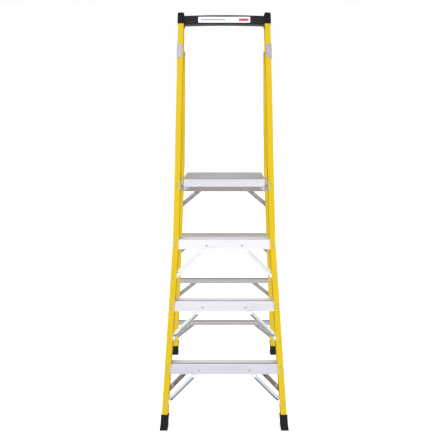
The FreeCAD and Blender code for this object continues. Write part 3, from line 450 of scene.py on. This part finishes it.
def upright_corners(node, place):
    """A node's corners in the upright frame of its section."""
    upright = place.inverted()
    return [upright @ v.co for v in NODES[node].data.vertices]


def bevel(made, name, width):
    """Two-step rounding of a piece's edges."""
    rounding = made.modifiers.new(name, "BEVEL")
    rounding.width = width
    rounding.segments = 2
    rounding.harden_normals = True
    return rounding


def soften(node, width):
    """A copy of a long CAD extrusion with its lengthwise edges rounded and its ends sawn square."""
    mesh = NODES[node].data.copy()
    mesh.name = node + "_finished"
    if "custom_normal" in mesh.attributes:
        mesh.attributes.remove(mesh.attributes["custom_normal"])
    work = bmesh.new()
    work.from_mesh(mesh)
    bmesh.ops.remove_doubles(work, verts=work.verts, dist=WELD)
    bmesh.ops.dissolve_limit(work, angle_limit=FLAT, verts=work.verts, edges=work.edges)
    weights = work.edges.layers.float.new("bevel_weight_edge")
    for edge in work.edges:
        if len(edge.link_faces) != 2 or edge.calc_face_angle(0) < SHARP:
            continue
        run = abs((edge.verts[1].co - edge.verts[0].co).normalized().x)
        if run > ALONG and edge.calc_length() > SHORTEST_SOFT:
            edge[weights] = 1.0
        else:
            edge.smooth = False
    for face in work.faces:
        face.smooth = True
    work.to_mesh(mesh)
    work.free()
    made = piece(node, "_finished", mesh)
    rounding = bevel(made, "edges", width)
    rounding.limit_method = "WEIGHT"
    rounding.use_clamp_overlap = False
    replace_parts(made, node)


def smooth_step(value):
    """Rises from 0 to 1 with level ends."""
    value = min(1.0, max(0.0, value))
    return value * value * (3 - 2 * value)


def rounded(corners, radii, steps=5):
    """A closed outline with its corners rounded, as x and y pairs."""
    points = []
    for i, (corner, radius) in enumerate(zip(corners, radii)):
        here = Vector(corner)
        before = (Vector(corners[i - 1]) - here).normalized()
        after = (Vector(corners[(i + 1) % len(corners)]) - here).normalized()
        for k in range(steps + 1):
            share = k / steps
            points.append(
                here + before * radius * (1 - share) ** 2 + after * radius * share ** 2)
    return points


def loft(node, suffix, place, loops):
    """A closed moulded skin through rings of points, which stands for its node."""
    work = bmesh.new()
    rings = [[work.verts.new(point) for point in ring] for ring in loops]
    for low, high in zip(rings, rings[1:]):
        for i in range(len(low)):
            j = (i + 1) % len(low)
            work.faces.new((low[i], low[j], high[j], high[i]))
    work.faces.new(rings[0])
    work.faces.new(rings[-1])
    bmesh.ops.recalc_face_normals(work, faces=work.faces)
    mesh = bpy.data.meshes.new(node + suffix)
    work.to_mesh(mesh)
    work.free()
    mesh.transform(place)
    mesh.shade_smooth()
    mesh.set_sharp_from_angle(angle=SHARP)
    return piece(node, suffix, mesh)


def outer_side(node, place):
    """A boot in its upright frame: its side, its outer face's x at a height, its top, and its depth."""
    corners = upright_corners(node, place)
    side = 1 if corners[0].x > 0 else -1
    widest = max(corners, key=lambda v: abs(v.x))
    top = max(v.z for v in corners)
    at_top = [v for v in corners if v.z > top - SAME_LEVEL]
    rim = max(at_top, key=lambda v: abs(v.x))
    slope = (abs(widest.x) - abs(rim.x)) / (widest.z - rim.z) if widest.z != rim.z else 0.0
    depth = [v.y for v in at_top]
    return side, lambda z: abs(rim.x) + slope * (z - rim.z), top, min(depth), max(depth)


def moulded_boot(node, place):
    """A boot's sleeve, with a bead round its rim and a flared foot, over a grooved pad."""
    side, outer, top, front, back = outer_side(node, place)
    lean = place.to_3x3() @ Vector((0, 1, 0))
    rise = place.to_3x3() @ Vector((0, 0, 1))

    def on_level(level, y):
        """The upright z at which a point of depth y lies on a level of the floor's frame."""
        return (level - place.translation.z - lean.z * y) / rise.z

    loops = []
    for step in range(BOOT_STEPS + 1):
        share = step / BOOT_STEPS
        above = share * top
        swell = FLARE * (1 - smooth_step(above / FLARE_HEIGHT))
        swell += BEAD * smooth_step((above - top + BEAD_DROP) / BEAD_RISE)
        swell -= RIM_ROUND * smooth_step((above - top + RIM_ROUND_HEIGHT) / RIM_ROUND_HEIGHT)
        x = outer(above) + swell
        tip, wall = x - BOOT_FLANGE - 2 * swell, x - BOOT_SLEEVE - 2 * swell
        y0, y1 = front - swell, back + swell
        inner0, inner1 = y0 + BOOT_SLEEVE + 2 * swell, y1 - BOOT_SLEEVE - 2 * swell
        channel = [
            (x, y0), (x, y1), (tip, y1), (tip, inner1), (wall, inner1), (wall, inner0),
            (tip, inner0), (tip, y0)]
        ring = rounded(channel, [BOOT_CORNER] * 2 + [BOOT_INNER_CORNER] * 6)
        loops.append([
            Vector((side * p.x, p.y, (1 - share) * on_level(BOOT_PAD / 2, p.y) + above))
            for p in ring])
    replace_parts(loft(node, "_sleeve", place, loops), node)

    heel, toe = [
        (place @ Vector((0, y, on_level(0, y)))).y for y in (front - PAD_PROUD, back + PAD_PROUD)]
    near, far = sorted(
        side * x for x in (outer(0) + PAD_PROUD, outer(0) - BOOT_FLANGE - PAD_PROUD))
    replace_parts(loft(node, "_pad", Matrix.Identity(4), pad_rings(heel, toe, near, far)), node)


def pad_rings(heel, toe, near, far):
    """A pad's grooved side view, shrunk a little at each end of the pad to round it."""
    profile = [
        (heel + PAD_EDGE / 2, BOOT_PAD), (heel, BOOT_PAD * 0.6), (heel, PAD_EDGE),
        (heel + PAD_EDGE, 0)]
    pitch = (toe - heel) / (PAD_GROOVES + 0.5)
    for i in range(PAD_GROOVES):
        y = heel + pitch * (i + 0.75)
        profile += [
            (y - GROOVE_WIDE, 0), (y - GROOVE_SHOULDER, GROOVE_SHOULDER_HEIGHT),
            (y - GROOVE_ROOT, GROOVE_DEPTH), (y + GROOVE_ROOT, GROOVE_DEPTH),
            (y + GROOVE_SHOULDER, GROOVE_SHOULDER_HEIGHT), (y + GROOVE_WIDE, 0)]
    profile += [
        (toe - PAD_EDGE, 0), (toe, PAD_EDGE), (toe, BOOT_PAD * 0.6),
        (toe - PAD_EDGE / 2, BOOT_PAD)]
    middle = sum(z for _, z in profile) / len(profile)
    centre = (heel + toe) / 2
    shrinks = ((0, 1.4), (0.5, 0.5), (1.6, 0))      # distance from the end, and shrink, in mm
    columns = [(near + inset * MM, shrink * MM) for inset, shrink in shrinks]
    columns += [(far - inset * MM, shrink * MM) for inset, shrink in reversed(shrinks)]
    rings = []
    for x, shrink in columns:
        lower = 1 - shrink / (BOOT_PAD / 2)
        shorter = 1 - shrink / ((toe - heel) / 2)
        rings.append([
            Vector((x, centre + (y - centre) * shorter, max(0.0, middle + (z - middle) * lower)))
            for y, z in profile])
    return rings


def moulded_cap(node, place):
    """A cap over a rail's top, rounded all round, with a seat sunk for each bolt head."""
    corners = upright_corners(node, place)
    side = 1 if corners[0].x > 0 else -1
    outer = max(abs(v.x) for v in corners)
    inner = min(abs(v.x) for v in corners)
    bottom, top = min(v.z for v in corners), max(v.z for v in corners)
    front, back = min(v.y for v in corners), max(v.y for v in corners)
    loops = []
    for step in range(CAP_STEPS + 1):
        share = step / CAP_STEPS
        z = bottom + (top - bottom) * (1 - (1 - share) ** CAP_CROWDING)
        into = max(0.0, CAP_ROUND - (top - z))
        crown = CAP_ROUND - math.sqrt(max(0.0, CAP_ROUND ** 2 - into ** 2))
        cheek = max(0.0, CAP_CHEEK - (top - z)) / 3
        start = CAP_START * (1 - smooth_step((z - bottom) / CAP_START_HEIGHT))
        x0, x1 = inner + cheek + crown * 0.6 + start, outer - share * CAP_TAPER - crown - start
        y0, y1 = front + crown * 0.7 + start, back - crown * 0.7 - start
        ring = rounded(
            [(x1, y0), (x1, y1), (x0, y1), (x0, y0)], [CAP_CORNER] * 2 + [CAP_INNER_CORNER] * 2)
        loops.append([Vector((side * p.x, p.y, z)) for p in ring])
    made = loft(node, "_moulded", place, loops)
    for v in bolt_seats(place, side):
        sink_seat(made, place @ Vector((side * (outer - CAP_SEAT_IN), v.y, v.z)))
    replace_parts(made, node)


def bolt_seats(place, side):
    """Middles of the guard bar's bolt heads on one side, in the upright frame."""
    tips = [v for v in upright_corners("guard_bar_bolts", place) if v.x * side > 0]
    outside = max(abs(v.x) for v in tips)
    tips = sorted((v for v in tips if abs(v.x) > outside - 1.0 * MM), key=lambda v: v.y)
    split = (tips[0].y + tips[-1].y) / 2
    for group in ([v for v in tips if v.y < split], [v for v in tips if v.y > split]):
        yield sum(group, Vector()) / len(group)


def sink_seat(cap, location):
    """Cuts one round seat into a cap's outer side."""
    bpy.ops.mesh.primitive_cylinder_add(
        vertices=48, radius=CAP_SEAT_R, depth=2 * CAP_SEAT_DEEP, rotation=(0, math.pi / 2, 0),
        location=location)
    cutter = bpy.context.object
    cut = cap.modifiers.new("seat", "BOOLEAN")
    cut.object = cutter
    cut.solver = "EXACT"
    bpy.context.view_layer.update()
    shaped = bpy.data.meshes.new_from_object(
        cap.evaluated_get(bpy.context.evaluated_depsgraph_get()))
    cap.modifiers.clear()
    shaped.set_sharp_from_angle(angle=SHARP)
    cap.data = shaped
    bpy.data.objects.remove(cutter)


def rib_run(ridge):
    """The length and slope of a brace's rib.

    The rib's top is a slanted rectangle, so its two spreads and its width give both.
    """
    spread_x = max(v.x for v in ridge) - min(v.x for v in ridge)
    spread_z = max(v.z for v in ridge) - min(v.z for v in ridge)
    angle = math.atan2(spread_z, spread_x)
    for _ in range(20):
        length = (spread_x - BRACE_RIB * math.sin(angle)) / math.cos(angle)
        angle = math.atan2(spread_z - BRACE_RIB * math.cos(angle), length * math.cos(angle))
    return length, angle


def strut(node, place, splay, out):
    """A pressed diagonal brace: a flat strip with a raised rib that fades out before its ends.

    `out` is the way its rib stands, 1 or -1 along Y. A front brace's lower side is folded instead.
    """
    corners = upright_corners(node, place)
    crown = max(out * v.y for v in corners)
    ridge = [v for v in corners if abs(out * v.y - crown) < 0.1 * MM]
    middle = sum(ridge, Vector()) / len(ridge)
    side = -1 if middle.x > 0 else 1
    length, angle = rib_run(ridge)
    along = Vector((side * math.cos(angle), 0, math.sin(angle)))
    across = Vector((-along.z, 0, along.x))
    reach = [(v - middle).dot(along) for v in corners]
    start, end = min(reach), max(reach)
    rib_start, rib_end = -length / 2 - BRACE_RAMP * 0.2, length / 2 + BRACE_RAMP * 0.2
    folded = "front_brace" in node
    if folded:
        rib_start, rib_end = rib_start - FOLD_PAST_FOOT, rib_end + FOLD_PAST_HEAD
    seated = min if out < 0 else max
    head_seat = seated(v.y for v, s in zip(corners, reach) if s > end - HEAD_TAB)
    foot_seat = seated(v.y for v, s in zip(corners, reach) if s < start + FOOT_TAB)
    bulge = crown * out - head_seat
    web = max(corners, key=lambda v: abs(v.x))
    half = BRACE_WIDTH / 2

    def rise(t):
        """How far up the rib a point is, from 0 at the strip's edge to 1, at `t` across it."""
        if folded and t * across.z < 0:
            return min(1.0, max(0.0, (half - FOLD_RIM - abs(t)) / (half - FOLD_RIM)))
        return smooth_step((half - BRACE_EDGE - abs(t)) / BRACE_SIDE)

    columns, rows = BRACE_GRID
    work = bmesh.new()
    grid = []
    for i in range(columns):
        s = start + (end - start) * i / (columns - 1)
        into = max(0.0, BRACE_CORNER - min(s - start, end - s))
        width = half - BRACE_CORNER + math.sqrt(max(0.0, BRACE_CORNER ** 2 - into ** 2))
        lift = smooth_step((s - rib_start) / BRACE_RAMP) * smooth_step((rib_end - s) / BRACE_RAMP)
        step = smooth_step((s - start - FOOT_STEP) / BRACE_RAMP)
        line = []
        for j in range(rows):
            t = width * (2 * j / (rows - 1) - 1)
            point = middle + along * s + across * t
            point.y = foot_seat + (head_seat - foot_seat) * step + bulge * lift * rise(t)
            limit = abs(web.x) - splay * (point.z - web.z)
            point.x = math.copysign(min(abs(point.x), limit), point.x)
            line.append(work.verts.new(point))
        grid.append(line)
    for i in range(columns - 1):
        for j in range(rows - 1):
            work.faces.new((grid[i][j], grid[i + 1][j], grid[i + 1][j + 1], grid[i][j + 1]))
    bmesh.ops.recalc_face_normals(work, faces=work.faces)
    if sum(face.normal.y for face in work.faces) * out < 0:
        bmesh.ops.reverse_faces(work, faces=work.faces)
    mesh = bpy.data.meshes.new(node + "_pressed")
    work.to_mesh(mesh)
    work.free()
    mesh.transform(place)
    mesh.shade_smooth()
    made = piece(node, "_pressed", mesh)
    sheet = made.modifiers.new("sheet", "SOLIDIFY")
    sheet.thickness = BRACE_SHEET
    sheet.offset = -1
    rim = bevel(made, "rim", 0.4 * MM)
    rim.limit_method = "ANGLE"
    rim.angle_limit = math.radians(50)
    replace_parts(made, node)


for node, object_ in NODES.items():
    object_.data.materials.clear()
    object_.data.materials.append(node_material(node))
for node, width in EDGE.items():
    soften(node, width * MM)
for side in ("left", "right"):
    moulded_boot("front_boot_" + side, FRONT_PLACE)
    moulded_boot("rear_boot_" + side, REAR_PLACE)
    moulded_cap("end_cap_" + side, FRONT_PLACE)
for node in list(NODES):
    if "brace" in node and node.startswith("tread"):
        strut(node, FRONT_PLACE, FRONT_SPLAY, 1 if "rear_brace" in node else -1)
    elif "brace" in node:
        strut(node, REAR_PLACE, REAR_SPLAY, -1)


# ---------------------------------------------------------------- stage, light and camera
def stage_floor():
    bpy.ops.mesh.primitive_plane_add(size=FLOOR_SIZE, location=(0, 0, 0))
    floor = bpy.context.object
    floor.name = "floor"
    made = Finish(
        "floor_paper", colour("f4f4f5"), 0.85, Emission_Color=colour("ffffff"),
        Emission_Strength=FLOOR_GLOW)
    made.tint(made.remap(made.noise(2, detail=2), 0.3, 0.8, 0, 0.4), colour("f0f0f1"))
    floor.data.materials.append(made.material)


def light_room(tree):
    """Soft light, brightest in front of the ladder and dimmer behind it; the camera sees white."""

    def node(kind, **values):
        made = tree.nodes.new(kind)
        for name, value in values.items():
            made.inputs[name.replace("_", " ")].default_value = value
        return made

    background = tree.nodes["Background"]
    direction = node("ShaderNodeTexCoord").outputs["Generated"]
    split = node("ShaderNodeSeparateXYZ")
    tree.links.new(direction, split.inputs["Vector"])
    depth = node("ShaderNodeMapRange", From_Min=-0.6, From_Max=0.7, To_Min=ROOM_FRONT,
                 To_Max=ROOM_BACK)
    tree.links.new(split.outputs["Y"], depth.inputs["Value"])
    height = node("ShaderNodeMapRange", From_Min=0.2, From_Max=1.0, To_Min=0.0, To_Max=ROOM_TOP)
    tree.links.new(split.outputs["Z"], height.inputs["Value"])
    total = node("ShaderNodeMath")
    tree.links.new(depth.outputs["Result"], total.inputs[0])
    tree.links.new(height.outputs["Result"], total.inputs[1])
    seen = node("ShaderNodeLightPath").outputs["Is Camera Ray"]
    blend = tree.nodes.new("ShaderNodeMix")
    tree.links.new(seen, blend.inputs["Factor"])
    tree.links.new(total.outputs["Value"], blend.inputs[2])
    blend.inputs[3].default_value = 1.0
    background.inputs["Color"].default_value = (1, 1, 1, 1)
    tree.links.new(blend.outputs[0], background.inputs["Strength"])


def soft_box(name, place, power):
    data = bpy.data.lights.new(name, "AREA")
    data.shape = "RECTANGLE"
    data.size = SOFT_BOX
    data.size_y = SOFT_BOX
    data.energy = power
    light = bpy.data.objects.new(name, data)
    light.location = place
    light.rotation_euler = (Vector(LIT_AT) - Vector(place)).to_track_quat("-Z", "Y").to_euler()
    bpy.context.scene.collection.objects.link(light)


def camera():
    data = bpy.data.cameras.new("camera")
    data.lens = CAMERA_LENS
    data.sensor_width = CAMERA_SENSOR
    data.shift_x = CAMERA_SHIFT
    made = bpy.data.objects.new("camera", data)
    made.location = (0, front_foot - CAMERA_BACK, CAMERA_HEIGHT)
    made.rotation_euler = (math.pi / 2 - CAMERA_PITCH, 0, 0)
    bpy.context.scene.collection.objects.link(made)
    bpy.context.scene.camera = made


stage_floor()
world = bpy.data.worlds.new("studio")
world.use_nodes = True
light_room(world.node_tree)
bpy.context.scene.world = world
bpy.context.scene.view_settings.view_transform = "Standard"
for name, place, power in SOFT_BOXES:
    soft_box(name, place, power)
camera()
